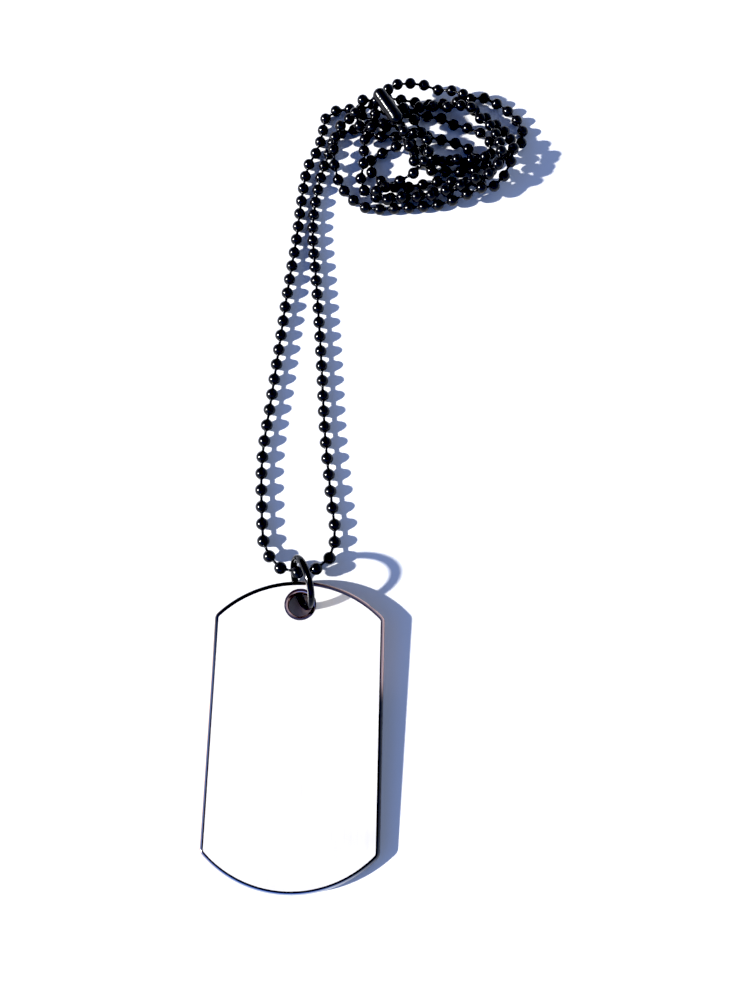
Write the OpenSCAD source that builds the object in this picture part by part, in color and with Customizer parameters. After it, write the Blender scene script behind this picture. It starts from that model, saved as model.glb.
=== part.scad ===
// Identification dog tag on a ball chain: a blank metal tag lying face up, a
// jump ring standing in its hole, and the neck chain run up from the ring and
// dropped in a loose pile, with its connector on top. All sizes in millimetres.
// The tag's long axis is +Y, and the chain's pile is at the +Y end.

/* [Tag] */
// Width of the tag
tag_width = 28.6; // [26:0.1:34]
// Length of the tag, over both round ends
tag_length = 50.8; // [46:0.1:60]
// Thickness of the tag
tag_thickness = 1.8; // [1.5:0.1:2.4]
// Radius of the arc that ends the tag
end_radius = 19.6; // [18.5:0.1:24]
// How much is taken off the corner between the end arc and the side
corner_cut = 0.15; // [0.05:0.05:0.4]
// Radius that rounds every edge of the tag, at the rim and at the hole
edge_radius = 0.6; // [0.3:0.05:0.7]
// Diameter of the hole for the jump ring
hole_diameter = 4; // [3.8:0.1:4.6]
// Distance from the top end of the tag to the hole's centre
hole_inset = 4.1; // [3.8:0.1:5]

/* [Jump ring] */
// Outer diameter of the jump ring
ring_diameter = 9.6; // [9.4:0.1:11]
// Diameter of the jump ring's wire
ring_wire = 1.2; // [1:0.05:1.3]
// Width of the cut where the jump ring is closed
ring_cut = 0.1; // [0.05:0.05:0.3]
// Turn of the ring about the vertical, from the tag's long axis
ring_turn = 19.5; // [10:0.5:25]
// Lean of the ring from upright, to the right
ring_lean = 14.5; // [5:0.5:18]

/* [Ball chain] */
// Diameter of a bead
bead_diameter = 2.2; // [2:0.05:2.25]
// Wall of the hollow bead
bead_wall = 0.28; // [0.2:0.01:0.3]
// Distance from bead to bead at the jump ring, where the chain is drawn out
bead_pitch = 3.25; // [3.1:0.05:3.3]
// Distance from bead to bead in the pile, where the chain is slack
slack_pitch = 2.85; // [2.8:0.05:3]
// Diameter of the bar that joins two beads
bar_diameter = 0.48; // [0.4:0.02:0.52]
// Diameter of the bar's head, which is caught inside the next bead
head_diameter = 1.06; // [1:0.02:1.1]
// Most that one bead can lie above or below its neighbour
bead_step = 1.1; // [0.9:0.05:1.3]

/* [Connector] */
// Length of the connector's tube
tube_length = 9; // [8:0.1:11]
// Wall of the connector's tube
tube_wall = 0.2; // [0.15:0.01:0.3]
// Width of the slot along the connector's tube
tube_slot = 0.7; // [0.6:0.05:0.9]
// Turn of the connector's tube about the vertical, from the tag's long axis
tube_turn = 31; // [20:1:40]

/* [Clearances] */
// Gap between pieces that are loose in each other
play = 0.1; // [0.08:0.01:0.15]

/* [Hidden] */
$fn = 48;

// Beads are hollow, and each bar's head turns freely inside the next bead
bead_r = bead_diameter / 2;
bar_r = bar_diameter / 2;
cavity_r = bead_r - bead_wall;
// Hole that a bar passes through
bar_hole_r = bar_r + 1.5 * play;

// Half the tag's outline: the end arc's centre, the corner where it would
// meet the side, and the centre of the wide arc that takes the corner off
half_width = tag_width / 2;
half_length = tag_length / 2;
half_thickness = tag_thickness / 2;
end_y = half_length - end_radius;
corner_y = end_y + sqrt(pow(end_radius, 2) - pow(half_width, 2));
corner_angle = atan2(corner_y - end_y, half_width) / 2;
shoulder_radius = 2 * tag_width;
shoulder = [half_width, corner_y]
    - (shoulder_radius + corner_cut) * [cos(corner_angle), sin(corner_angle)];
hole_r = hole_diameter / 2;
hole_y = half_length - hole_inset;

// The ring's centre line, its wire and the height of its centre off the floor
wire_r = ring_wire / 2;
ring_r = ring_diameter / 2 - wire_r;
ring_z = wire_r + ring_r * cos(ring_lean);

// The ring lies under the tag's top end and tips it up: the length of tag
// from the resting end to the wire, and the height that the wire needs
tip_length = half_length - edge_radius + half_length - hole_inset / 3;
tip_height = ring_wire + 2 * play;
tag_tilt = asin(tip_height / tip_length);
tag_z = edge_radius + (half_length - edge_radius) * sin(tag_tilt)
    + (half_thickness - edge_radius) * cos(tag_tilt);

// Directions in the ring's plane: along the floor, and up the lean
ring_along = [-sin(ring_turn), cos(ring_turn), 0];
ring_up = [sin(ring_lean) * cos(ring_turn), sin(ring_lean) * sin(ring_turn), cos(ring_lean)];

// Where the ring's centre line crosses the middle of the hole: near the
// hole's right side, at an angle below the tag's X axis
seat_angle = 5;
seat_offset = hole_r - wire_r - 6 * play;
seat = [
    seat_offset * cos(seat_angle),
    hole_y * cos(tag_tilt) - seat_offset * sin(seat_angle),
    tag_z + hole_y * sin(tag_tilt)
];
seat_up = (seat[2] - ring_z) / cos(ring_lean);
seat_along = -sqrt(pow(ring_r, 2) - pow(seat_up, 2));
ring_centre = [
    seat[0] - seat_along * ring_along[0] - seat_up * ring_up[0],
    seat[1] - seat_along * ring_along[1] - seat_up * ring_up[1],
    ring_z
];

// The chain's middle bead hangs in the ring, just inside its far side
pass_angle = -20;
pass_r = ring_r - wire_r - bead_r - 1.5 * play;
pass = ring_centre + pass_r * (cos(pass_angle) * ring_along + sin(pass_angle) * ring_up);

// Connector: the tube holds the chain's two end beads
tube_r = bead_r + 1.2 * play + tube_wall;
tube_place = [13.5, 94];
tube_axis = [-sin(tube_turn), cos(tube_turn)];
end_bead_offset = tube_length / 2 - tube_wall - 1.2 * play - bead_r;

// Route of the chain on the floor, seen from above, as two runs that start at
// the ring and end in the connector. Points are measured from the middle bead.
left_run = [
    [0, 0], [-3, 1], [-6, 5], [-7, 12], [-7.5, 22], [-6.5, 34], [-5.5, 46], [-4.5, 58],
    [-3.5, 68], [-3, 76], [-2, 84.5], [-0.5, 88], [0.5, 92], [1, 96], [3, 98],
    [6, 98.5], [8.5, 97], [11.5, 95], [16.5, 93.5], [22, 92], [27.5, 90.5],
    [30.5, 88.5], [31, 86.5], [28.5, 86], [25.5, 86], [23, 86.5], [20.5, 88],
    [17.5, 89], [14, 88.5], [10.5, 86.5], [10.5, 83.5], [13, 81], [15.5, 80],
    [19.5, 80.5], [23.5, 81.5], [27.5, 81.5], [31.5, 81.5], [34, 83.5], [32.5, 86],
    [29, 85], [25.5, 85], [21.5, 84], [18.5, 84], [17.5, 87.5]
];
right_run = [
    [0, 0], [3, 1], [5, 3], [6, 7], [5, 15], [3.5, 27], [2.5, 39], [1.5, 50], [0.5, 60],
    [-0.5, 70], [0, 78], [1, 84], [2, 87.5], [3, 91], [5.5, 93.5], [8.5, 93],
    [11.5, 92], [14.5, 92], [17.5, 91], [19, 88], [20, 85.5], [22.5, 84], [25.5, 84],
    [29.5, 84], [33, 85.5], [34, 88.5], [33.5, 92], [30.5, 94], [27, 95], [24.5, 96.5],
    [22, 97], [18, 97.5], [14.5, 98], [11.5, 96.5], [10, 93], [9, 90], [9, 85],
    [8.5, 80.5], [10.5, 78], [14, 77.5], [18.5, 78], [23.5, 79], [28.5, 79.5],
    [32.5, 81], [35.5, 84.5], [37.5, 88], [39.5, 90], [40.5, 93], [39, 97], [36, 100],
    [32.5, 102], [29.5, 101.5], [26, 100.5], [21.5, 100], [16.5, 99.5], [12, 98.5],
    [8.5, 97], [5.5, 94.5], [3.5, 91], [3, 87], [3.5, 83], [6, 78], [10, 75], [14, 75],
    [19.5, 75.5], [25.5, 76.5], [31, 78], [35, 80], [37.5, 84], [38, 88], [36.5, 92.5],
    [33.5, 96.5], [30, 99], [25.5, 98.5], [20.5, 98], [16, 95.5], [12.5, 93], [9.5, 91],
    [7, 94], [9, 97.5], [13.5, 96.5], [17.5, 95], [20, 91.5], [21.5, 87], [21, 83.5],
    [18.5, 81], [14.5, 79.5], [11.5, 78], [13, 76], [16.5, 76.5], [21, 77], [25.5, 78],
    [30, 79], [34, 81], [35.5, 85], [35, 90], [33.5, 94], [31.5, 96], [29.5, 98.5],
    [27.5, 101], [24.5, 102.5], [21, 103], [18, 102.5], [15, 101]
];

// How finely each span of a run is drawn before the beads are spaced along it
span_steps = 10;
// Distance along a run at which the chain is slack
slack_from = 90;
// Passes that let every bead find its height
settle_passes = 60;

// Point of a curve through b and c, with a and d as its neighbours, at share t
function blend(p, q, tp, tq, t) = ((tq - t) * p + (t - tp) * q) / (tq - tp);
function knot(p, q) = max(sqrt(norm(q - p)), 0.01);
function curve(a, b, c, d, share) =
    let (
        t0 = 0,
        t1 = t0 + knot(a, b),
        t2 = t1 + knot(b, c),
        t3 = t2 + knot(c, d),
        t = t1 + share * (t2 - t1),
        ab = blend(a, b, t0, t1, t),
        bc = blend(b, c, t1, t2, t),
        cd = blend(c, d, t2, t3, t),
        abc = blend(ab, bc, t0, t2, t),
        bcd = blend(bc, cd, t1, t3, t)
    )
    blend(abc, bcd, t1, t2, t);

// A run drawn as many short steps
function drawn(run) =
    let (
        n = len(run),
        padded = concat([2 * run[0] - run[1]], run, [2 * run[n - 1] - run[n - 2]])
    )
    [
        for (i = [0:n - 2])
        for (k = [0:span_steps - 1])
        curve(padded[i], padded[i + 1], padded[i + 2], padded[i + 3], k / span_steps),
        run[n - 1]
    ];

// Distance along the steps up to each of them
function distances(steps) =
    let (last = len(steps) - 1)
    [
        for (i = 0, s = 0; i <= last; s = s + norm(steps[min(i + 1, last)] - steps[i]), i = i + 1)
        s
    ];

// Number of beads up to a distance along a run: their spacing closes evenly
// from the jump ring to the pile, and stays the same in the pile
function beads_within(s) =
    s < slack_from
    ? slack_from / (bead_pitch - slack_pitch)
        * ln(bead_pitch / (bead_pitch - (bead_pitch - slack_pitch) * s / slack_from))
    : beads_within(slack_from - play) + (s - slack_from) / slack_pitch;

// Beads along a run, without its first point
function beads_along(run) =
    let (
        steps = drawn(run),
        s = distances(steps),
        last = len(steps) - 1,
        whole = beads_within(s[last]),
        count = round(whole),
        xs = [for (i = [0:last]) [beads_within(s[i]), steps[i][0]]],
        ys = [for (i = [0:last]) [beads_within(s[i]), steps[i][1]]]
    )
    [
        for (k = [1:count])
        let (at = k * whole / count)
        [lookup(at, xs), lookup(at, ys)]
    ];

left_beads = beads_along(concat(left_run, [tube_place - end_bead_offset * tube_axis]));
right_beads = beads_along(concat(right_run, [tube_place + end_bead_offset * tube_axis]));
middle = len(left_beads);
bead_count = middle + 1 + len(right_beads);
half_count = floor(bead_count / 2);
beads_flat = concat(
    [for (i = [middle - 1:-1:0]) left_beads[i]],
    [[0, 0]],
    right_beads
);

// The chain was dropped from its middle bead outwards, so a bead lies on the
// beads and bars that are nearer the middle along the chain
function turn_of(i) = abs(i - middle);
bead_reach = bead_diameter + 1.2 * play;
bar_reach = sqrt(pow(slack_pitch / 2, 2) + pow(bar_diameter + play, 2));
tube_reach = tube_r + bead_r + 1.5 * play;

// Distance from a point to the connector's axis, seen from above
function off_tube(p) =
    let (
        v = p - tube_place,
        s = v * tube_axis,
        reach = tube_length / 2 - tube_r,
        foot = max(-reach, min(reach, s)) * tube_axis
    )
    norm(v - foot);

// What bead i rests on: pairs of beads, and how far above their mean it lies
function rests(i) =
    i == 0 || i == bead_count - 1
    ? concat(
        [[bead_count - 1 - i, bead_count - 1 - i, 0]],
        [
            for (j = [1:bead_count - 2])
            let (d = off_tube(beads_flat[j]))
            if (d < tube_reach && j > 1 && j < bead_count - 2)
            [j, j, sqrt(pow(tube_reach, 2) - d * d)]
        ]
    )
    : concat(
        [
            for (j = [0:bead_count - 1])
            let (d = norm(beads_flat[i] - beads_flat[j]))
            if (abs(i - j) > 1 && d < bead_reach && turn_of(j) < turn_of(i))
            [j, j, sqrt(pow(bead_reach, 2) - d * d)]
        ],
        [
            for (j = [0:bead_count - 2])
            let (d = norm(beads_flat[i] - (beads_flat[j] + beads_flat[j + 1]) / 2))
            if (
                abs(i - j) > 1 && abs(i - j - 1) > 1 && d < bar_reach
                && max(turn_of(j), turn_of(j + 1)) < turn_of(i)
            )
            [j, j + 1, sqrt(pow(bar_reach, 2) - d * d)]
        ]
    );
bead_rests = [for (i = [0:bead_count - 1]) rests(i)];
floor_heights = [for (i = [0:bead_count - 1]) i == middle ? pass[2] : bead_r];
function settled(z, passes) =
    passes == 0
    ? z
    : settled(
        [
            for (i = [0:bead_count - 1])
            max(
                z[i],
                z[max(i - 1, 0)] - bead_step,
                z[min(i + 1, bead_count - 1)] - bead_step,
                max([0, for (r = bead_rests[i]) (z[r[0]] + z[r[1]]) / 2 + r[2]])
            )
        ],
        passes - 1
    );
heights = settled(floor_heights, settle_passes);
beads = [
    for (i = [0:bead_count - 1])
    [pass[0] + beads_flat[i][0], pass[1] + beads_flat[i][1], heights[i]]
];

// Shift that puts the origin under the middle of everything, on the floor
bead_xs = [for (b = beads) b[0]];
bead_ys = [for (b = beads) b[1]];
low_x = min(-half_width, min(bead_xs) - bead_r);
high_x = max(half_width, max(bead_xs) + bead_r);
low_y = -(half_length - edge_radius) * cos(tag_tilt)
    - (half_thickness - edge_radius) * sin(tag_tilt) - edge_radius;
high_y = max(bead_ys) + bead_r;
shift = [-(low_x + high_x) / 2, -(low_y + high_y) / 2, 0];
tube_middle = [pass[0] + tube_place[0], pass[1] + tube_place[1], heights[0]];

// What rounding takes off a square corner at the origin, in the first quadrant
module corner_waste(radius) {
    difference() {
        square(radius + play);
        circle(radius);
    }
}

// Half of a plate's cross-section, from its middle out to a rounded rim
module rim_profile(reach) {
    difference() {
        translate([0, -half_thickness])
        square([reach, tag_thickness]);
        translate([reach - edge_radius, half_thickness - edge_radius])
        corner_waste(edge_radius);
        translate([reach - edge_radius, edge_radius - half_thickness])
        mirror([0, 1])
        corner_waste(edge_radius);
    }
}

// Round plate with a rounded rim
module rim_disc(radius) {
    rotate_extrude()
    rim_profile(radius);
}

// The tag's half at the hole: straight sides, an end arc and, where they
// meet, a wide arc that takes the corner off
module tag_half() {
    intersection() {
        rotate([90, 0, 0])
        linear_extrude(2 * tag_length, center = true)
        union() {
            rim_profile(half_width);
            mirror([1, 0])
            rim_profile(half_width);
        }
        translate([0, end_y, 0])
        rim_disc(end_radius);
        for (side = [-1, 1])
        translate([side * shoulder[0], shoulder[1], 0])
        rim_disc(shoulder_radius);
        translate([-tag_width, 0, -tag_thickness])
        cube([2 * tag_width, tag_length, 2 * tag_thickness]);
    }
}

// What the hole takes away above the tag's mid-plane, with a rounded lip
module hole_lip() {
    rotate_extrude()
    difference() {
        square([hole_r + edge_radius, half_thickness + play]);
        translate([hole_r, 0])
        square([edge_radius + play, half_thickness - edge_radius]);
        translate([hole_r + edge_radius, half_thickness - edge_radius])
        circle(edge_radius);
    }
}

// Blank metal tag, its top end tipped up by the ring beneath it
module tag_plate() {
    color([0.86, 0.87, 0.9])
    translate(shift + [0, 0, tag_z])
    rotate([tag_tilt, 0, 0])
    difference() {
        union() {
            tag_half();
            mirror([0, 1, 0])
            tag_half();
        }
        translate([0, hole_y, 0])
        hole_lip();
        translate([0, hole_y, 0])
        rotate([180, 0, 0])
        hole_lip();
    }
}

// Jump ring: one turn of round wire, closed at a thin cut near the floor
module jump_ring() {
    cut_angle = 360 * ring_cut / (2 * PI * ring_r);
    color([0.3, 0.31, 0.33])
    translate(shift + ring_centre)
    rotate([90 + ring_lean, 0, 90 + ring_turn])
    rotate([0, 0, -75])
    rotate_extrude(angle = 360 - cut_angle)
    translate([ring_r, 0])
    circle(wire_r);
}

// Turns children so that their +Z points along v
module aim(v) {
    rotate([0, acos(v[2] / norm(v)), atan2(v[1], v[0])])
    children();
}

// Hollow ball with a hole along its +Z, where the bead before it hangs on
module shell(drilled) {
    rotate_extrude()
    difference() {
        circle(bead_r);
        circle(cavity_r);
        translate([-bead_diameter, -bead_r])
        square([bead_diameter, bead_diameter]);
        if (drilled)
        square([bar_hole_r, bead_diameter]);
    }
}

// Bar from inside a bead's wall to its head in the middle of the next bead
module bar(pitch) {
    start = cavity_r + bead_wall / 2;
    rotate_extrude() {
        translate([0, start])
        square([bar_r, pitch - start]);
        intersection() {
            translate([0, pitch])
            circle(head_diameter / 2);
            translate([0, pitch - bead_r])
            square(bead_diameter);
        }
    }
}

// One bead with the bar whose head is caught inside the bead after it
module link(i) {
    translate(beads[i]) {
        aim(i > 0 ? beads[i - 1] - beads[i] : [0, 0, 1])
        shell(i > 0);
        if (i < bead_count - 1)
        aim(beads[i + 1] - beads[i])
        bar(norm(beads[i + 1] - beads[i]));
    }
}

// Links of the neck chain from one bead to another, laid along its route
module chain_run(first, last) {
    color([0.07, 0.07, 0.08])
    translate(shift)
    for (i = [first:last])
    link(i);
}

// First half of the neck chain, from the connector through the jump ring
module ball_chain_first() {
    chain_run(0, half_count - 1);
}

// Second half of the neck chain, back through the pile to the connector
module ball_chain_second() {
    chain_run(half_count, bead_count - 1);
}

// Half-section of a capsule about its middle
module capsule_profile(radius, half) {
    translate([0, radius - half])
    square([radius, 2 * (half - radius)]);
    for (side = [-1, 1])
    intersection() {
        translate([0, side * (half - radius)])
        circle(radius);
        translate([0, -half])
        square([radius, 2 * half]);
    }
}

// Connector: a slotted tube with round ends that holds both end beads
module chain_connector() {
    last = bead_count - 1;
    color([0.09, 0.09, 0.1])
    translate(shift)
    difference() {
        translate(tube_middle)
        aim([tube_axis[0], tube_axis[1], 0])
        difference() {
            rotate_extrude()
            capsule_profile(tube_r, tube_length / 2);
            rotate_extrude()
            capsule_profile(tube_r - tube_wall, tube_length / 2 - tube_wall);
            translate([0, -tube_slot / 2, -tube_length / 2 + 2 * tube_r])
            cube([tube_r + play, tube_slot, tube_length - 4 * tube_r]);
        }
        translate(beads[0])
        aim(beads[1] - beads[0])
        cylinder(h = 2 * bead_diameter, r = bar_hole_r);
        translate(beads[last])
        aim(beads[last - 1] - beads[last])
        cylinder(h = 2 * bead_diameter, r = bar_hole_r);
    }
}

tag_plate();
jump_ring();
ball_chain_first();
ball_chain_second();
chain_connector();
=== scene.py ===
import logging
import math
from dataclasses import dataclass, field
from enum import Enum
from typing import Sequence

import bmesh
import bpy
import numpy as np
from mathutils import Matrix, Vector


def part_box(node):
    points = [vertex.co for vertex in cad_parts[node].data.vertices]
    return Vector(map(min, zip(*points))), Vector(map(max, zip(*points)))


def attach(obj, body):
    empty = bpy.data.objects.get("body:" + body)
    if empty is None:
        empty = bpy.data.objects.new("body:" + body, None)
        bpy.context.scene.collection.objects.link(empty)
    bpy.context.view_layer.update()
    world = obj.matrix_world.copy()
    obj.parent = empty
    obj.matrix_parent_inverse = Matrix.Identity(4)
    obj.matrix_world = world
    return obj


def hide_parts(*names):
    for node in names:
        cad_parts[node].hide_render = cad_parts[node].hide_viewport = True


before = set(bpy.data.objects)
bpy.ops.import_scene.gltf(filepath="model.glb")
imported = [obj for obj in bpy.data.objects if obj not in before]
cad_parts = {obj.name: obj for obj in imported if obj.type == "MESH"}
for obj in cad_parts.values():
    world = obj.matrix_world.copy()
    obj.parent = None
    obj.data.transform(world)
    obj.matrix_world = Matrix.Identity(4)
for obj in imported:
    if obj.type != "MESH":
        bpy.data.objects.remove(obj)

# The pieces' sizes are in millimetres, and angles in degrees. What Blender itself keeps, such as
# the frame's boxes, the finishes' places and the lights' sizes, is in metres.

log = logging.getLogger("dog_tag")

MM = 0.001
Vec = tuple[float, float, float]
Rgb = tuple[float, float, float]
Pair = tuple[float, float]
Faces = list[tuple[int, ...]]
Socket = bpy.types.NodeSocket


class Grain(Enum):
    """How a metal surface was worked.

    Attributes:
        stretch: Stretch of the grain along X, Y and Z.
        specular: Specular level of the surface.
    """

    BRUSHED = ((1.0, 0.06, 1.0), 0.5)
    POLISHED = ((1.0, 1.0, 1.0), 0.5)
    LACQUERED = ((1.0, 1.0, 1.0), 0.2)

    def __init__(self, stretch: Vec, specular: float) -> None:
        """Keeps the option's values."""
        self.stretch = stretch
        self.specular = specular


class TagPart(Enum):
    """Parts of the tag that have a finish each, with their material index while it is built."""

    FACE = 0
    RIMS = 1
    BACK = 2


# ---------------------------------------------------------------- mesh helpers


def add_piece(name: str, verts: np.ndarray, faces: Sequence[Sequence[int]],
              finish: bpy.types.Material) -> bpy.types.Object:
    """Makes one smooth mesh object from points and faces.

    Args:
        name: The piece's name.
        verts: Points in metres, one row each.
        faces: Point indices of each face.
        finish: The piece's material.

    Returns:
        The new object, linked into the scene.
    """
    mesh = bpy.data.meshes.new(name)
    mesh.from_pydata([tuple(v) for v in verts], [], [tuple(f) for f in faces])
    mesh.validate()
    mesh.materials.append(finish)
    mesh.polygons.foreach_set("use_smooth", [True] * len(mesh.polygons))
    mesh.update()
    return add_object(name, mesh)


def add_object(name: str, data: bpy.types.ID) -> bpy.types.Object:
    """Links a new object into the scene.

    Args:
        name: The object's name.
        data: Its mesh, light or camera.

    Returns:
        The object.
    """
    made = bpy.data.objects.new(name, data)
    bpy.context.scene.collection.objects.link(made)
    return made


def turns(count: int) -> list[float]:
    """Angles in radians of evenly spaced points round a circle."""
    return [2 * math.pi * k / count for k in range(count)]


def revolve(profile: Sequence[Pair], sides: int) -> tuple[np.ndarray, Faces]:
    """Turns a profile about Z into a closed skin with a point at each end.

    Args:
        profile: Radius and height of each ring, from the low end to the high end. An end with
            radius 0 is one point.
        sides: Number of sides.

    Returns:
        The points and the faces.
    """
    verts: list[Vec] = []
    rings: list[list[int]] = []
    for radius, z in profile:
        if radius <= 0:
            rings.append([len(verts)])
            verts.append((0.0, 0.0, z))
            continue
        rings.append(list(range(len(verts), len(verts) + sides)))
        verts += [(radius * math.cos(a), radius * math.sin(a), z) for a in turns(sides)]
    faces: Faces = []
    for low, high in zip(rings, rings[1:]):
        for k in range(sides):
            n = (k + 1) % sides
            if len(low) == 1:
                faces.append((low[0], high[n], high[k]))
            elif len(high) == 1:
                faces.append((low[k], low[n], high[0]))
            else:
                faces.append((low[k], low[n], high[n], high[k]))
    return np.array(verts), faces


def aim_z(direction: np.ndarray) -> np.ndarray:
    """Rotation that turns +Z to a direction.

    Args:
        direction: The direction, of any length.

    Returns:
        A 3 by 3 matrix whose columns are the turned axes.
    """
    z = direction / np.linalg.norm(direction)
    side = np.array([1.0, 0.0, 0.0]) if abs(z[0]) < 0.8 else np.array([0.0, 1.0, 0.0])
    x = np.cross(side, z)
    x /= np.linalg.norm(x)
    return np.column_stack([x, np.cross(z, x), z])


def box_centre(node: str) -> Vector:
    """Middle of a node's box in the frame, in metres."""
    low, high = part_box(node)
    return Vector([(a + b) / 2 for a, b in zip(low, high)])


# -------------------------------------------------------------------- finishes


@dataclass(frozen=True)
class Wiring:
    """Node tree of a finish or of the sky.

    Attributes:
        tree: The tree itself.
    """

    tree: bpy.types.NodeTree

    def add(self, kind: str, inputs: dict[str | int, object], **settings: object) -> bpy.types.Node:
        """Adds a node, sets it and feeds its inputs.

        Args:
            kind: The node's type.
            inputs: A socket to link or a plain value for each input, by its name or number.
            settings: The node's own settings.

        Returns:
            The node.
        """
        node = self.tree.nodes.new(kind)
        for name, value in settings.items():
            setattr(node, name, value)
        self.feed(node, inputs)
        return node

    def feed(self, node: bpy.types.Node, inputs: dict[str | int, object]) -> None:
        """Feeds a node's inputs.

        Args:
            node: The node.
            inputs: A socket to link or a plain value for each input, by its name or number.
        """
        for key, value in inputs.items():
            if isinstance(value, Socket):
                self.tree.links.new(value, node.inputs[key])
            else:
                node.inputs[key].default_value = value

    def place(self, output: str) -> Socket:
        """Adds the coordinates that a pattern follows."""
        return self.add("ShaderNodeTexCoord", {}).outputs[output]

    def noise(self, place: Socket, scale: float, detail: float) -> Socket:
        """Adds a noise pattern, with its cells per metre and its detail."""
        inputs = {"Vector": place, "Scale": scale, "Detail": detail}
        return self.add("ShaderNodeTexNoise", inputs).outputs[0]

    def ramp(self, value: Socket, stops: Sequence[tuple[float, Rgb]]) -> Socket:
        """Adds a colour ramp.

        Args:
            value: What the colour depends on.
            stops: Place and colour of each stop, in order.

        Returns:
            The colour.
        """
        node = self.add("ShaderNodeValToRGB", {0: value})
        elements = node.color_ramp.elements
        for element, (at, colour) in zip(elements, (stops[0], stops[-1])):
            element.position, element.color = at, (*colour, 1.0)
        for at, colour in stops[1:-1]:
            elements.new(at).color = (*colour, 1.0)
        return node.outputs[0]

    def mapped(self, value: Socket, source: Pair, target: Pair) -> Socket:
        """Adds a straight change of range, held at both ends."""
        return self.add("ShaderNodeMapRange", {
            "Value": value, "From Min": source[0], "From Max": source[1],
            "To Min": target[0], "To Max": target[1]}).outputs[0]

    def vector(self, operation: str, **inputs: object) -> bpy.types.Node:
        """Adds vector maths on a first input and on a second one or a scale."""
        keys: dict[str, str | int] = {"first": 0, "second": 1, "scale": "Scale"}
        return self.add("ShaderNodeVectorMath", {keys[k]: v for k, v in inputs.items()},
                        operation=operation)

    def over(self, value: Socket, span: Pair, under: Socket, colour: Rgb) -> Socket:
        """Mixes a colour over another where a value runs through a span.

        Args:
            value: What the mix depends on.
            span: Values at which the mix starts and is full.
            under: The colour so far.
            colour: The colour mixed over it.

        Returns:
            The mixed colour.
        """
        share = self.add("ShaderNodeMapRange",
                         {"Value": value, "From Min": span[0], "From Max": span[1]},
                         interpolation_type="SMOOTHSTEP")
        mix = self.add("ShaderNodeMix", {"Factor": share.outputs[0]}, data_type="RGBA")
        first, second = (i for i in mix.inputs if i.type == "RGBA")
        self.tree.links.new(under, first)
        second.default_value = (*colour, 1.0)
        return next(o for o in mix.outputs if o.type == "RGBA")


@dataclass(frozen=True)
class PaintedReflection:
    """Painted reflection: lighter or tinted metal round one place, standing in for what the metal
    mirrors there.

    Attributes:
        colour: Colour of the painted reflection at the place.
        at: The place, in metres.
        radius: Distance in metres at which the painted reflection has faded.
        core: Share of the radius within which it is full.
    """

    colour: Rgb
    at: Vec
    radius: float
    core: float = 0.55

    def over(self, wires: Wiring, place: Socket, tone: Socket) -> Socket:
        """Mixes the painted reflection over a base colour.

        Args:
            wires: The material's nodes.
            place: The point on the piece.
            tone: The base colour.

        Returns:
            The mixed colour.
        """
        away = wires.vector("DISTANCE", first=place, second=self.at).outputs["Value"]
        return wires.over(away, (self.radius, self.radius * self.core), tone, self.colour)


@dataclass(frozen=True)
class MetalFinish:
    """A metal surface with its grain, in a node material.

    Attributes:
        name: The material's name.
        grain: How the surface was worked.
        dark: Colour in the low parts of the grain.
        light: Colour in the high parts of the grain.
        metallic: Share of bare metal.
        rough: Roughness where the surface is smoothest and where it is dullest.
        scale: Size of the grain, as noise cells per metre.
        relief: Height of the grain in metres.
        painted_reflections: Places where a reflection is painted into the metal's colour.
        detail: Detail of the fine grain and of the broad clouds.
        broad: Scale of the broad clouds, as a share of the grain's.
        clouds: Share of the broad clouds in the pattern.
        tone_at: Values of the pattern at which the dark and the light colour are full.
        rough_at: The same for the roughness.
    """

    name: str
    grain: Grain
    dark: Rgb
    light: Rgb
    metallic: float
    rough: Pair
    scale: float
    relief: float
    painted_reflections: tuple[PaintedReflection, ...] = ()
    detail: Pair = (6.0, 3.0)
    broad: float = 0.07
    clouds: float = 0.45
    tone_at: Pair = (0.32, 0.68)
    rough_at: Pair = (0.3, 0.7)

    def material(self) -> bpy.types.Material:
        """Makes the node material.

        Returns:
            The new material.
        """
        mat = bpy.data.materials.new(self.name)
        mat.use_nodes = True
        wires = Wiring(mat.node_tree)
        place = wires.place("Object")
        along = wires.add("ShaderNodeMapping", {"Vector": place, "Scale": self.grain.stretch})
        fine = wires.noise(along.outputs[0], self.scale, self.detail[0])
        broad = wires.noise(place, self.scale * self.broad, self.detail[1])
        both = wires.add("ShaderNodeMix", {"Factor": self.clouds, "A": fine, "B": broad}).outputs[0]
        colour = wires.ramp(both, list(zip(self.tone_at, (self.dark, self.light))))
        # Painted reflections, mixed over the grain's colour round their places.
        for reflection in self.painted_reflections:
            colour = reflection.over(wires, place, colour)
        bump = wires.add("ShaderNodeBump",
                         {"Strength": 1.0, "Distance": self.relief, "Height": fine})
        wires.feed(mat.node_tree.nodes["Principled BSDF"], {
            "Metallic": self.metallic, "Specular IOR Level": self.grain.specular,
            "Base Color": colour, "Roughness": wires.mapped(both, self.rough_at, self.rough),
            "Normal": bump.outputs[0]})
        return mat


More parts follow.
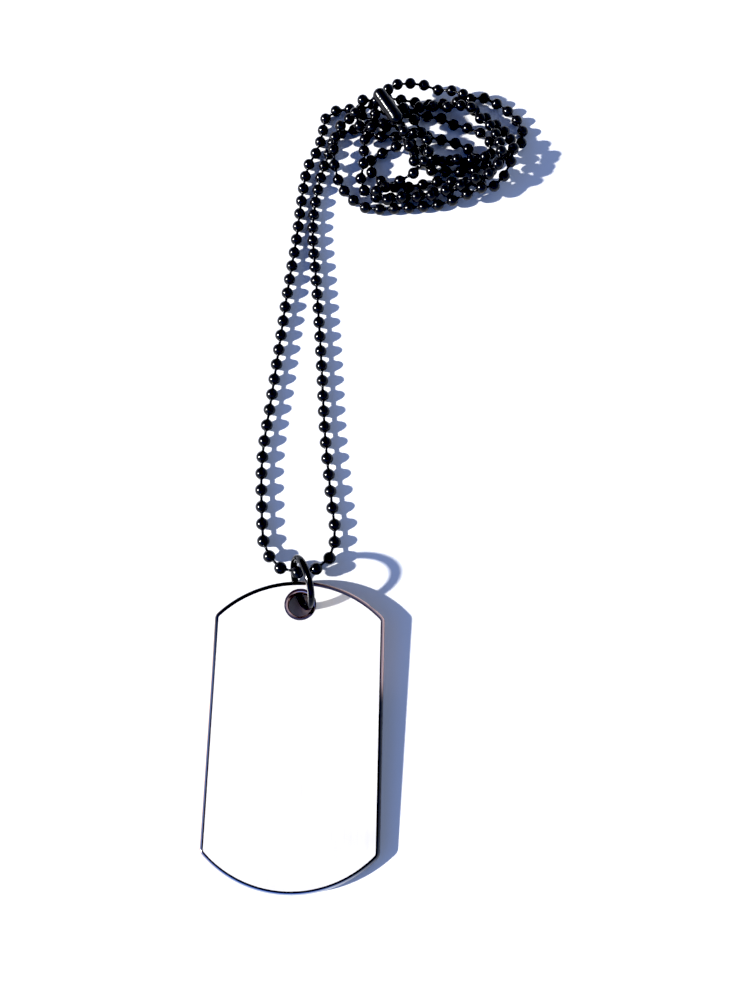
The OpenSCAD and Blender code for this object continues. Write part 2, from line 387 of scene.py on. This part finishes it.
@dataclass(frozen=True)
class FloorFinish:
    """Plain pale surface under the object.

    Attributes:
        name: The material's name.
        dark: Colour in the low parts.
        light: Colour in the high parts.
        rough: Roughness.
        specular: Specular level.
        scale: Size of the pattern, as noise cells per metre.
        detail: Its detail.
        tone_at: Values of the pattern at which the dark and the light colour are full.
    """

    name: str = "pale_floor"
    dark: Rgb = (0.84, 0.84, 0.85)
    light: Rgb = (0.88, 0.88, 0.88)
    rough: float = 0.85
    specular: float = 0.1
    scale: float = 25.0
    detail: float = 4.0
    tone_at: Pair = (0.35, 0.65)

    def material(self) -> bpy.types.Material:
        """Makes the node material.

        Returns:
            The new material.
        """
        mat = bpy.data.materials.new(self.name)
        mat.use_nodes = True
        wires = Wiring(mat.node_tree)
        noise = wires.noise(wires.place("Object"), self.scale, self.detail)
        wires.feed(mat.node_tree.nodes["Principled BSDF"], {
            "Roughness": self.rough, "Specular IOR Level": self.specular,
            "Base Color": wires.ramp(noise, list(zip(self.tone_at, (self.dark, self.light))))})
        return mat


TAG_FACE = MetalFinish("tag_face_satin", Grain.BRUSHED, dark=(0.9, 0.885, 0.87),
                       light=(0.95, 0.94, 0.93), metallic=0.5, rough=(0.38, 0.48), scale=2600.0,
                       relief=0.0000015)
# Painted shade: the back is the face's satin steel made much darker, so that little light bounces
# under the tag and the floor seen through the hole stays dark.
TAG_BACK = MetalFinish("tag_back_satin", Grain.BRUSHED, dark=(0.2, 0.197, 0.193),
                       light=(0.24, 0.237, 0.232), metallic=0.8, rough=(0.38, 0.48), scale=2600.0,
                       relief=0.0000015)
# The painted reflections, mixed into the rim's colour, are in order: a brownish reflection at the
# upper right, a greyish blue one at the bottom, a warm grey one at the left and a brownish one on
# the hole's lip.
TAG_RIM = MetalFinish("tag_rim_polished", Grain.POLISHED, dark=(0.028, 0.028, 0.031),
                      light=(0.05, 0.05, 0.054), metallic=1.0, rough=(0.08, 0.14), scale=900.0,
                      relief=0.0000008, painted_reflections=(
                          PaintedReflection((0.58, 0.39, 0.34), (0.002, -0.031, 0.002), 0.017, 0.7),
                          PaintedReflection((0.42, 0.45, 0.52), (-0.026, -0.088, 0.001), 0.034),
                          PaintedReflection((0.85, 0.65, 0.52), (-0.042, -0.056, 0.002), 0.03),
                          PaintedReflection((0.8, 0.5, 0.42), (-0.0133, -0.0313, 0.005), 0.0036, 0.92)))
RING_STEEL = MetalFinish("ring_steel_dark", Grain.POLISHED, dark=(0.012, 0.012, 0.013),
                         light=(0.022, 0.022, 0.024), metallic=1.0, rough=(0.13, 0.18),
                         scale=1200.0, relief=0.0000004)
CHAIN_BLACK = MetalFinish("chain_black_gloss", Grain.LACQUERED, dark=(0.0012, 0.0012, 0.0016),
                          light=(0.003, 0.003, 0.0036), metallic=0.0, rough=(0.15, 0.2),
                          scale=1100.0, relief=0.0000003)
TUBE_BLACK = MetalFinish("connector_black_gloss", Grain.LACQUERED, dark=(0.0015, 0.0015, 0.002),
                         light=(0.0035, 0.0035, 0.004), metallic=0.0, rough=(0.18, 0.22),
                         scale=1400.0, relief=0.0000003)


# ---------------------------------------------------------------------- pieces


@dataclass
class TagPlate:
    """Blank metal tag with a satin face, a polished rounded rim and a hole.

    Attributes:
        width: Width.
        length: Length over both round ends.
        thickness: Thickness.
        end_radius: Radius of the arc at each end.
        corner_radius: Radius of the corner between end arc and side.
        edge: Radius that rounds every edge.
        hole_radius: Radius of the hole.
        hole_inset: Distance from the top end to the hole's centre.
        tilt: Angle by which the ring tips the tag's top end up.
        slim: Width of the rounded edge at the sides, as a share of its width at the top.
        slimmest: The same at the bottom.
        strips: Distances of the flat strips' rings from the rounded edge, from the inside.
        steps: Steps along a quarter of the rounded edge.
        side_steps: Steps along a straight side.
        corner_steps: Steps along a corner.
        end_steps: Steps along an end's arc.
        hole_steps: Steps round the hole.
    """

    width: float = 28.6
    length: float = 50.8
    thickness: float = 1.8
    end_radius: float = 19.6
    corner_radius: float = 1.5
    edge: float = 0.6
    hole_radius: float = 2.0
    hole_inset: float = 4.1
    tilt: float = 1.64283
    slim: float = 0.84
    slimmest: float = 0.75
    strips: Vec = (0.5, 0.22, 0.0)
    steps: int = 12
    side_steps: int = 40
    corner_steps: int = 12
    end_steps: int = 90
    hole_steps: int = 64

    def centre(self) -> Vec:
        """Finds the tag's middle.

        Returns:
            Its place in the frame, in metres, from the node's box and the tilt.
        """
        low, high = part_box("tag_plate")
        tilt = math.radians(self.tilt)
        reach = self.length / 2 - self.edge
        lift = self.thickness / 2 - self.edge
        return ((low[0] + high[0]) / 2,
                low[1] + (reach * math.cos(tilt) + lift * math.sin(tilt) + self.edge) * MM,
                low[2] + (reach * math.sin(tilt) + lift * math.cos(tilt) + self.edge) * MM)

    def outline(self) -> tuple[np.ndarray, np.ndarray]:
        """Walks the tag's outline counter-clockwise.

        Returns:
            The points in the tag's plane and their outward normals.
        """
        half_w, end_y = self.width / 2, self.length / 2 - self.end_radius
        corner_x = half_w - self.corner_radius
        corner_y = end_y + math.sqrt((self.end_radius - self.corner_radius) ** 2 - corner_x ** 2)
        turn = math.atan2(corner_y - end_y, corner_x)
        points: list[Pair] = []
        normals: list[Pair] = []

        def arc(cx: float, cy: float, radius: float, start: float, end: float, count: int) -> None:
            """Adds an arc without its last point."""
            for k in range(count):
                a = start + (end - start) * k / count
                points.append((cx + radius * math.cos(a), cy + radius * math.sin(a)))
                normals.append((math.cos(a), math.sin(a)))

        # The second half is the first one turned half way round.
        for half, way in ((0.0, 1.0), (math.pi, -1.0)):
            for k in range(self.side_steps):
                along = way * 2 * corner_y * k / self.side_steps
                points.append((way * half_w, along - way * corner_y))
                normals.append((way, 0.0))
            arc(way * corner_x, way * corner_y, self.corner_radius, half, half + turn,
                self.corner_steps)
            arc(0.0, way * end_y, self.end_radius, half + turn, half + math.pi - turn,
                self.end_steps)
            arc(-way * corner_x, way * corner_y, self.corner_radius, half + math.pi - turn,
                half + math.pi, self.corner_steps)
        return np.array(points), np.array(normals)

    def edge_profile(self) -> list[Pair]:
        """Rounded edge from the upper face round to the lower one.

        Returns:
            Inset from the outline and height above mid-plane of each point.
        """
        half = self.thickness / 2
        low = half - self.edge
        top = [(self.edge + strip, half) for strip in self.strips]
        for k in range(1, self.steps + 1):
            a = math.pi / 2 * k / self.steps
            top.append((self.edge * (1 - math.sin(a)), low + self.edge * math.cos(a)))
        return top + [(inset, -z) for inset, z in reversed(top)]

    def shell(self) -> bmesh.types.BMesh:
        """Makes the whole tag about its own middle.

        Returns:
            The tag in millimetres, with each face's part as its material index.
        """
        angles = -2 * np.pi * np.arange(self.hole_steps) / self.hole_steps
        round_hole = np.column_stack([np.cos(angles), np.sin(angles)])
        hole_at = np.array([0.0, self.length / 2 - self.hole_inset])
        profile = self.edge_profile()
        mesh = bmesh.new()

        def skirt(place: np.ndarray, out: np.ndarray,
                  lowest: float) -> list[list[bmesh.types.BMVert]]:
            """Adds one rounded wall along a loop and returns its rings of points."""
            shares = [self.slim + (1 - self.slim) * max(0.0, float(d[1]))
                      + (self.slim - lowest) * min(0.0, float(d[1])) for d in out]
            rings = []
            for inset, z in profile:
                spots = [p - d * inset * share for p, d, share in zip(place, out, shares)]
                rings.append([mesh.verts.new((q[0], q[1], z)) for q in spots])
            for level, (a, b) in enumerate(zip(rings, rings[1:])):
                part = TagPart.RIMS
                if level == 0:
                    part = TagPart.FACE
                elif level == len(rings) - 2:
                    part = TagPart.BACK
                for k in range(len(place)):
                    m = (k + 1) % len(place)
                    face = mesh.faces.new((a[k], b[k], b[m], a[m]))
                    face.material_index = part.value
            return rings

        rim = skirt(*self.outline(), self.slimmest)
        lip = skirt(hole_at + self.hole_radius * round_hole, -round_hole, self.slim)
        for level, part in ((0, TagPart.FACE), (-1, TagPart.BACK)):
            loops = [mesh.edges.get((a, b)) for ring in (rim[level], lip[level])
                     for a, b in zip(ring, ring[1:] + ring[:1])]
            made = bmesh.ops.triangle_fill(mesh, use_beauty=True, use_dissolve=False, edges=loops)
            for item in made["geom"]:
                if isinstance(item, bmesh.types.BMFace):
                    item.material_index = part.value
        bmesh.ops.recalc_face_normals(mesh, faces=mesh.faces[:])
        return mesh

    def build(self) -> list[bpy.types.Object]:
        """Builds the tag and lays it where the frame has it.

        Returns:
            The face, the rounded rims of tag and hole, and the back.
        """
        mesh = self.shell()
        tilt = Matrix.Rotation(math.radians(self.tilt), 4, "X")
        mesh.transform(Matrix.Translation(self.centre()) @ tilt @ Matrix.Scale(MM, 4))
        made = [self.dress(mesh, part, finish)
                for part, finish in zip(TagPart, (TAG_FACE, TAG_RIM, TAG_BACK))]
        mesh.free()
        return made

    def dress(self, tag: bmesh.types.BMesh, part: TagPart, finish: MetalFinish) -> bpy.types.Object:
        """Makes a piece of the tag's faces that share a finish.

        Args:
            tag: The whole tag.
            part: The piece's part of the tag.
            finish: Its finish.

        Returns:
            The piece.
        """
        own = tag.copy()
        others = [f for f in own.faces if f.material_index != part.value]
        bmesh.ops.delete(own, geom=others, context="FACES")
        for face in own.faces:
            face.material_index = 0
            face.smooth = True
        name = "tag_plate_" + part.name.lower()
        data = bpy.data.meshes.new(name)
        own.to_mesh(data)
        own.free()
        data.materials.append(finish.material())
        piece = add_object(name, data)
        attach(piece, "root")
        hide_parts("tag_plate")
        return piece


@dataclass
class JumpRing:
    """Round-wire ring that stands in the tag's hole.

    Attributes:
        radius: Radius of the wire's centre line.
        wire: Radius of the wire.
        gap: Width of the cut where the ring is closed.
        turn: Turn about the vertical.
        lean: Lean from upright.
        cut_at: Place of the cut round the ring.
        soft: Length over which the wire's cut ends are rounded off.
        ends: That rounding: the share of its length along the wire, and what it takes off the
            wire's radius there, as shares of both.
        around: Steps round the ring.
        sides: Sides of the wire.
    """

    radius: float = 4.2
    wire: float = 0.6
    gap: float = 0.1
    turn: float = 19.5
    lean: float = 14.5
    cut_at: float = -75.0
    soft: float = 0.08
    ends: tuple[Pair, ...] = ((0.0, 1.6), (0.3, 0.6), (1.0, 0.0))
    around: int = 160
    sides: int = 28

    def stations(self) -> list[Pair]:
        """Lists the wire's sections.

        Returns:
            Angle from the cut, in radians, and share of the wire's radius of each.
        """
        sweep = 2 * math.pi - self.gap / self.radius
        soft = self.soft / self.radius
        first = [(self.soft * at / self.radius, 1.0 - self.soft * off) for at, off in self.ends]
        inner = [(float(a), 1.0) for a in np.linspace(soft, sweep - soft, self.around)[1:-1]]
        return first + inner + [(sweep - a, share) for a, share in reversed(first)]

    def build(self) -> list[bpy.types.Object]:
        """Builds the ring as one turn of wire with softly rounded cut ends.

        Returns:
            The ring.
        """
        sides, stations = self.sides, self.stations()
        verts: list[Vec] = []
        for a, share in stations:
            at = math.radians(self.cut_at) + a
            c, s = math.cos(at), math.sin(at)
            for b in turns(sides):
                r = self.radius + self.wire * share * math.cos(b)
                verts.append((r * c, r * s, self.wire * share * math.sin(b)))
        faces: Faces = []
        for low in range(0, (len(stations) - 1) * sides, sides):
            high = low + sides
            for k in range(sides):
                m = (k + 1) % sides
                faces.append((low + k, high + k, high + m, low + m))
        faces.append(tuple(range(sides)))
        faces.append(tuple(reversed(range(len(verts) - sides, len(verts)))))
        pose = (Matrix.Translation(box_centre("jump_ring"))
                @ Matrix.Rotation(math.radians(90 + self.turn), 4, "Z")
                @ Matrix.Rotation(math.radians(90 + self.lean), 4, "X") @ Matrix.Scale(MM, 4))
        placed = np.array([pose @ Vector(v) for v in verts])
        piece = add_piece("jump_ring_dressed", placed, faces, RING_STEEL.material())
        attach(piece, "root")
        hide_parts("jump_ring")
        return [piece]


@dataclass
class ChainRoute:
    """Centres of the chain's beads, in order, found in the frame's own chain.

    Attributes:
        nodes: The chain's nodes, in order along it.
        bead: Radius of a bead.
        head: Radius of the head inside the next bead.
        weld: Distance in metres within which a mesh's points are one.
        rounds: Rounds of a ball's fit.
        near: Distance from the ball within which a point counts in its fit.
        fewest: Fewest points that a fit needs.
        exact: Distance from the ball within which a point lies on it.
        enough: Fewest points that have to lie on a bead.
        centres: Centre of each bead, once read.
        owner: Index of each bead's node, once read.
    """

    nodes: tuple[str, ...] = ("ball_chain_first", "ball_chain_second")
    bead: float = 1.1
    head: float = 0.53
    weld: float = 1e-6
    rounds: int = 8
    near: float = 0.1
    fewest: int = 12
    exact: float = 0.01
    enough: int = 20
    centres: np.ndarray = field(default_factory=lambda: np.zeros((0, 3)))
    owner: list[int] = field(default_factory=list)

    def islands(self, node: str) -> list[np.ndarray]:
        """Splits a node's mesh into its loose links.

        Args:
            node: The node's name.

        Returns:
            The points of each link in millimetres.
        """
        source = bmesh.new()
        source.from_mesh(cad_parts[node].data)
        bmesh.ops.remove_doubles(source, verts=source.verts[:], dist=self.weld)
        source.verts.index_update()
        seen = [False] * len(source.verts)
        found: list[np.ndarray] = []
        for first in source.verts:
            if seen[first.index]:
                continue
            seen[first.index] = True
            stack, island = [first], []
            while stack:
                here = stack.pop()
                island.append(tuple(here.co))
                for edge in here.link_edges:
                    other = edge.other_vert(here)
                    if not seen[other.index]:
                        seen[other.index] = True
                        stack.append(other)
            found.append(np.array(island) / MM)
        source.free()
        return found

    def off_ball(self, points: np.ndarray, centre: np.ndarray) -> np.ndarray:
        """Distance of each point from the surface of a bead at a centre."""
        return np.abs(np.linalg.norm(points - centre, axis=1) - self.bead)

    def fit(self, points: np.ndarray) -> np.ndarray | None:
        """Fits the bead's outer ball to one link, from each corner of the link's box.

        Args:
            points: The link's points in millimetres.

        Returns:
            The ball's centre, or None if the points hold no such ball.
        """
        low, high = points.min(axis=0), points.max(axis=0)
        best, most = None, 0
        for corner in range(8):
            pick = np.array([(corner >> k) & 1 for k in range(3)], dtype=bool)
            guess = np.where(pick, high - self.bead, low + self.bead)
            for _ in range(self.rounds):
                use = points[self.off_ball(points, guess) < self.near]
                if len(use) < self.fewest:
                    break
                table = np.column_stack([2 * use, np.ones(len(use))])
                guess = np.linalg.lstsq(table, (use ** 2).sum(axis=1), rcond=None)[0][:3]
            hits = int((self.off_ball(points, guess) < self.exact).sum())
            if hits > most:
                best, most = guess, hits
        return best if most >= self.enough else None

    def read(self) -> None:
        """Finds every bead and puts them in order along the chain."""
        found: list[np.ndarray] = []
        tips: list[np.ndarray | None] = []
        owner: list[int] = []
        for index, node in enumerate(self.nodes):
            for points in self.islands(node):
                centre = self.fit(points)
                if centre is None:
                    continue
                away = np.linalg.norm(points - centre, axis=1)
                has_bar = away.max() > self.bead * 1.3
                tip = points[away > away.max() - self.head].mean(axis=0) if has_bar else None
                tips.append(tip)
                found.append(centre)
                owner.append(index)
        centres = np.array(found)
        following: dict[int, int] = {}
        for i, tip in enumerate(tips):
            if tip is not None:
                near = np.linalg.norm(centres - tip, axis=1)
                near[i] = math.inf
                following[i] = int(near.argmin())
        order = [min(set(range(len(centres))) - set(following.values()))]
        while order[-1] in following and len(order) < len(centres):
            order.append(following[order[-1]])
        self.centres = centres[order]
        self.owner = [owner[i] for i in order]
        log.info("chain: %d beads in order of %d found", len(order), len(found))


@dataclass
class BallChain:
    """One node of the chain: beads on short bars, where the frame has them.

    Attributes:
        route: The whole chain's beads.
        index: Which of the route's nodes this is.
        finish: The chain's material.
        bead: Radius of a bead.
        bar: Radius of a bar between its collars.
        collar: Radius of the collar where a bar enters a bead.
        shoulder: Radius half way from the collar to the bar, as a share of the collar's.
        sunk: Distance of a bar's hidden end from the bead's centre, as a share of its radius.
        taper: Length over which a collar narrows to the bar.
        taper_share: The most of half the space between two beads that the taper takes.
        sides: Sides of a bead.
        rings: Rings of a bead.
        bar_sides: Sides of a bar.
    """

    route: ChainRoute
    index: int
    finish: bpy.types.Material
    bead: float = 1.1
    bar: float = 0.24
    collar: float = 0.39
    shoulder: float = 0.8
    sunk: float = 0.9
    taper: float = 0.13
    taper_share: float = 0.8
    sides: int = 32
    rings: int = 20
    bar_sides: int = 14

    def bead_skin(self) -> tuple[np.ndarray, Faces]:
        """Ball of one bead about its own centre.

        Returns:
            The points and the faces.
        """
        inner = [math.pi * k / self.rings for k in range(1, self.rings)]
        profile = [(self.bead * math.sin(t), -self.bead * math.cos(t)) for t in inner]
        return revolve([(0.0, -self.bead), *profile, (0.0, self.bead)], self.sides)

    def bar_skin(self, pitch: float) -> tuple[np.ndarray, Faces]:
        """Bar with a collar at each bead, between two beads a pitch apart.

        Args:
            pitch: Distance between the beads' centres.

        Returns:
            The points and the faces, with the first bead at the origin.
        """
        low = self.bead * self.sunk
        reach = min(self.taper, self.taper_share * (pitch / 2 - self.bead))
        near = [(0.0, low), (self.collar, low), (self.collar, self.bead),
                (self.collar * self.shoulder, self.bead + reach / 2), (self.bar, self.bead + reach)]
        return revolve(near + [(r, pitch - z) for r, z in reversed(near)], self.bar_sides)

    def build(self) -> list[bpy.types.Object]:
        """Builds this node's beads and the bars that leave them.

        Returns:
            The piece.
        """
        beads, owner = self.route.centres, self.route.owner
        ball = self.bead_skin()
        verts: list[np.ndarray] = []
        faces: Faces = []
        base = 0
        for i, centre in enumerate(beads):
            if owner[i] != self.index:
                continue
            skins = [(ball, beads[min(i + 1, len(beads) - 1)] - beads[max(i - 1, 0)])]
            if i + 1 < len(beads):
                step = beads[i + 1] - centre
                skins.append((self.bar_skin(float(np.linalg.norm(step))), step))
            for (skin, skin_faces), way in skins:
                verts.append(skin @ aim_z(way).T + centre)
                faces += [tuple(base + k for k in f) for f in skin_faces]
                base += len(skin)
        node = self.route.nodes[self.index]
        piece = add_piece(node + "_dressed", np.vstack(verts) * MM, faces, self.finish)
        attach(piece, "root")
        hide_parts(node)
        return [piece]


@dataclass
class Connector:
    """Slotted tube that holds the chain's two end beads.

    Attributes:
        length: Length of the tube.
        radius: Outer radius of the tube.
        wall: Wall of the tube.
        slot: Width of the slot along the tube.
        turn: Turn about the vertical.
        pinch: Shallow pinch over each end bead: distance from the start of the straight part,
            and share of the tube's radius there.
        plain_from: Distance at which the plain middle of the tube starts.
        plain_rings: Rings of half the plain middle.
        cap_steps: Steps along a round end.
        sides: Sides of the tube.
        widest_slot: Most of the radius that half the slot takes, near the tube's axis.
        thinnest: Least radius that the slot is worked out at.
    """

    length: float = 9.0
    radius: float = 1.42
    wall: float = 0.2
    slot: float = 0.7
    turn: float = 31.0
    pinch: tuple[Pair, ...] = (
        (0.85, 1.0), (1.15, 0.995), (1.45, 0.955), (1.75, 0.995), (2.05, 1.0))
    plain_from: float = 2.35
    plain_rings: int = 4
    cap_steps: int = 10
    sides: int = 56
    widest_slot: float = 0.85
    thinnest: float = 0.05

    def profile(self, radius: float, half: float) -> list[Pair]:
        """Half-section of a capsule with a shallow pinch at each end bead.

        Args:
            radius: Radius of the capsule.
            half: Half its length.

        Returns:
            Radius and height of each ring, from the low end to the high end.
        """
        start = radius - half
        angles = [math.pi / 2 * k / self.cap_steps for k in range(1, self.cap_steps + 1)]
        cap = [(radius * math.sin(a), start - radius * math.cos(a)) for a in angles]
        waist = [(radius * share, start + at) for at, share in self.pinch]
        plain = np.linspace(start + self.plain_from, 0.0, self.plain_rings)
        first = cap + waist + [(radius, z) for z in plain]
        return first + [(r, -z) for r, z in reversed(first[:-1])]

    def angles(self, radius: float) -> list[float]:
        """Angles of the tube's sides at a radius, which leave the slot open about +X."""
        share = min(self.widest_slot, self.slot / 2 / max(radius, self.thinnest))
        half = math.asin(share)
        return [half + (2 * math.pi - 2 * half) * k / self.sides for k in range(self.sides + 1)]

    def build(self) -> list[bpy.types.Object]:
        """Builds the tube with its wall, slot and exit holes.

        Returns:
            The connector.
        """
        outer = self.profile(self.radius, self.length / 2)
        inner = self.profile(self.radius - self.wall, self.length / 2 - self.wall)
        verts = [(r * math.cos(a), r * math.sin(a), z) for r, z in outer + inner
                 for a in self.angles(r)]
        faces: Faces = []
        n, rows = self.sides + 1, len(outer)
        back = rows * n
        for i in range(rows - 1):
            for k in range(self.sides):
                a = i * n + k
                faces.append((a, a + 1, a + n + 1, a + n))
                faces.append((back + a, back + a + n, back + a + n + 1, back + a + 1))
            for k in (0, self.sides):
                a = i * n + k
                quad = (a, a + n, back + a + n, back + a)
                faces.append(quad if k == 0 else quad[::-1])
        for i in (0, rows - 1):
            for k in range(self.sides):
                a = i * n + k
                quad = (a, back + a, back + a + 1, a + 1)
                faces.append(quad if i == 0 else quad[::-1])
        turn = math.radians(self.turn)
        along = Vector((-math.sin(turn), math.cos(turn), 0.0))
        down = Vector((0.0, 0.0, -1.0))
        pose = Matrix((down, along.cross(down), along)).transposed().to_4x4()
        pose = Matrix.Translation(box_centre("chain_connector")) @ pose @ Matrix.Scale(MM, 4)
        placed = np.array([pose @ Vector(v) for v in verts])
        piece = add_piece("chain_connector_dressed", placed, faces, TUBE_BLACK.material())
        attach(piece, "root")
        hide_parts("chain_connector")
        return [piece]


# ---------------------------------------------------------------------- studio


@dataclass(frozen=True)
class SoftBox:
    """Soft area light over the tag's face.

    Attributes:
        power: Its power in watts.
        size: Its width and height in metres.
        colour: Its colour.
        at: Its place in metres.
        aim: The place that it faces.
    """

    power: float = 1.06
    size: Pair = (0.5, 0.4)
    colour: Rgb = (1.0, 0.83, 0.42)
    at: Vec = (-0.02, 0.35, 0.85)
    aim: Vec = (-0.01, -0.05, 0.0)

    def build(self) -> bpy.types.Object:
        """Makes the light.

        Returns:
            The light.
        """
        lamp = bpy.data.lights.new("soft", "AREA")
        lamp.shape = "RECTANGLE"
        lamp.size, lamp.size_y = self.size
        lamp.energy = self.power
        lamp.color = self.colour
        box = add_object("soft", lamp)
        box.location = self.at
        box.rotation_euler = (Vector(self.aim) - box.location).to_track_quat("-Z", "Y").to_euler()
        return box


@dataclass
class Studio:
    """Floor, lights, sky and camera.

    Attributes:
        sun_height: Height of the key light over the floor.
        sun_heading: Direction in which shadows fall, from +X towards +Y.
        sun_strength: Strength of the key light.
        sun_size: Angular size of the key light.
        sun_colour: Colour of the key light.
        kicker: Strength of the light that shines on the ring and the chain alone.
        glint: Strength of the light that shines on the connector alone.
        glint_heading: Its direction, from +X towards +Y.
        soft: The soft light over the face.
        dome: Colours of the sky, by height from the horizon to the top.
        bright_side: Towards the sky's brighter side, as long as the difference is large.
        level: Brightness of the sky half way between its brighter and its darker side.
        east: Colour of the paler sky towards +X.
        east_at: Where along X it starts and is full.
        dark_side: Towards the dark part of the sky overhead, where whoever looks on stands.
        dark_at: How near to that direction the dark part starts and is full.
        dark_left: Share of the sky's light that is left there.
        wall: Colour that the sky's dark parts keep.
        haze: Colour of the pale band at the horizon.
        haze_at: Height at which the band starts and is full.
        black: Level below which the picture is black, as film has one.
        floor_radius: Radius of the floor, in metres.
        floor_sides: Sides of the floor.
        eye: Camera's place from the tag's centre, with its height off the floor.
        heading: Camera's horizontal direction.
        pitch: Camera's angle below the horizon.
        lens: Focal length for the frame's width.
        frame_width: Width of the camera's frame.
    """

    sun_height: float = 30.0
    sun_heading: float = 15.0
    sun_strength: float = 8.5
    sun_size: float = 2.0
    sun_colour: Rgb = (1.0, 0.985, 0.96)
    kicker: float = 10.0
    glint: float = 6.0
    glint_heading: float = -8.0
    soft: SoftBox = SoftBox()
    dome: tuple[tuple[float, Rgb], ...] = (
        (0.0, (0.03, 0.035, 0.06)), (0.12, (0.08, 0.1, 0.18)), (0.36, (0.26, 0.64, 1.96)),
        (0.85, (0.26, 0.64, 1.96)), (1.0, (0.18, 0.45, 1.37)))
    bright_side: Vec = (0.0, -0.7, 0.0)
    level: float = 0.45
    east: Rgb = (0.52, 0.65, 0.93)
    east_at: Pair = (0.0, 0.5)
    dark_side: Vec = (0.0, -0.358, 0.934)
    dark_at: Pair = (0.75, 0.88)
    dark_left: float = 0.03
    wall: Rgb = (0.028, 0.018, 0.016)
    haze: Rgb = (0.5, 0.53, 0.6)
    haze_at: Pair = (0.3, 0.1)
    black: float = 0.013
    floor_radius: float = 20.0
    floor_sides: int = 96
    eye: Vec = (13.88, -34.54, 198.2)
    heading: Pair = (-0.023, 0.9997)
    pitch: float = 69.0
    lens: float = 57.6
    frame_width: float = 36.0

    def floor(self) -> bpy.types.Object:
        """Lays the pale floor.

        Returns:
            The floor.
        """
        reach = self.floor_radius
        rim = [(reach * math.cos(t), reach * math.sin(t), 0.0) for t in turns(self.floor_sides)]
        floor = add_piece("pale_floor", np.array(rim), [tuple(range(self.floor_sides))],
                          FloorFinish().material())
        return floor

    def sky(self) -> None:
        """Makes a blue sky, brighter on one side, over a pale band at the horizon."""
        world = bpy.data.worlds.new("studio_sky")
        bpy.context.scene.world = world
        world.use_nodes = True
        wires = Wiring(world.node_tree)
        way = wires.place("Generated")
        split = wires.add("ShaderNodeSeparateXYZ", {0: way})
        east, up = split.outputs["X"], split.outputs["Z"]
        side = wires.vector("DOT_PRODUCT", first=way, second=self.bright_side).outputs["Value"]
        share = wires.add("ShaderNodeMath", {0: side, 1: self.level}, operation="ADD",
                          use_clamp=True)
        above = wires.vector("DOT_PRODUCT", first=way, second=self.dark_side).outputs["Value"]
        clear = wires.mapped(above, self.dark_at, (1.0, self.dark_left))
        dome = wires.ramp(up, self.dome)
        blue = wires.vector("SCALE", first=dome, scale=share.outputs[0]).outputs[0]
        lit = wires.over(east, self.east_at, blue, self.east)
        lit = wires.vector("SCALE", first=lit, scale=clear).outputs[0]
        lit = wires.vector("ADD", first=lit, second=self.wall).outputs[0]
        lit = wires.over(up, self.haze_at, lit, self.haze)
        wires.feed(world.node_tree.nodes["Background"], {"Strength": 1.0, "Color": lit})

    def sun(self, name: str, energy: float, heading: float) -> bpy.types.Object:
        """Makes a distant light at the key light's height.

        Args:
            name: The light's name.
            energy: Its strength.
            heading: Direction in which it throws shadows, from +X towards +Y.

        Returns:
            The light.
        """
        lamp = bpy.data.lights.new(name, "SUN")
        lamp.energy = energy
        lamp.angle = math.radians(self.sun_size)
        lamp.color = self.sun_colour
        up, way = math.radians(self.sun_height), math.radians(heading)
        reach = math.cos(up)
        beam = Vector((math.cos(way) * reach, math.sin(way) * reach, -math.sin(up)))
        place = add_object(name, lamp)
        place.rotation_euler = beam.to_track_quat("-Z", "Y").to_euler()
        return place

    def lights(self, face: bpy.types.Object, blacks: Sequence[bpy.types.Object],
               tube: bpy.types.Object) -> None:
        """Places the key light, and the lights that shine on some pieces alone.

        Args:
            face: The tag's face, which has a soft light of its own.
            blacks: The ring and the chain, which the kicker gives their highlights.
            tube: The connector, whose own light puts a straight glint along it.
        """
        self.sun("key", self.sun_strength, self.sun_heading)
        kicker = self.sun("kicker", self.kicker, self.sun_heading)
        glint = self.sun("glint", self.glint, self.glint_heading)
        for lamp, pieces in ((kicker, blacks), (glint, (tube,)), (self.soft.build(), (face,))):
            lit = bpy.data.collections.new(lamp.name + "_lit")
            for piece in pieces:
                lit.objects.link(piece)
            lamp.light_linking.receiver_collection = lit

    def camera(self) -> None:
        """Places the camera at the photograph's angle."""
        x, y, _ = TagPlate().centre()
        pitch = math.radians(self.pitch)
        flat = Vector((*self.heading, 0.0)).normalized()
        ahead = flat * math.cos(pitch) + Vector((0.0, 0.0, -math.sin(pitch)))
        right = ahead.cross(Vector((0.0, 0.0, 1.0))).normalized()
        data = bpy.data.cameras.new("photo_view")
        data.sensor_fit = "HORIZONTAL"
        data.sensor_width = self.frame_width
        data.lens = self.lens
        data.clip_start = 0.01
        camera = add_object("photo_view", data)
        camera.matrix_world = Matrix((right, right.cross(ahead), -ahead)).transposed().to_4x4()
        camera.location = (x + self.eye[0] * MM, y + self.eye[1] * MM, self.eye[2] * MM)
        bpy.context.scene.camera = camera

    def build(self) -> None:
        """Sets up the studio, all but its lights."""
        self.camera()
        self.floor()
        self.sky()
        view = bpy.context.scene.view_settings
        view.view_transform = "Standard"
        view.use_curve_mapping = True
        view.curve_mapping.black_level = (self.black,) * 3
        view.curve_mapping.update()


def main() -> None:
    """Builds the studio and each piece in order."""
    logging.basicConfig(level=logging.INFO, format="%(name)s: %(message)s")
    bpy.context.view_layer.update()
    studio = Studio()
    studio.build()
    route = ChainRoute()
    route.read()
    black = CHAIN_BLACK.material()
    made: list[bpy.types.Object] = []
    for maker in (TagPlate(), JumpRing(), BallChain(route, 0, black), BallChain(route, 1, black),
                  Connector()):
        for piece in maker.build():
            made.append(piece)
            log.info("%s: %d faces", piece.name, len(piece.data.polygons))
    face, _rims, _back, ring, first, second, tube = made
    studio.lights(face, (ring, first, second), tube)


if __name__ == "__main__":
    main()
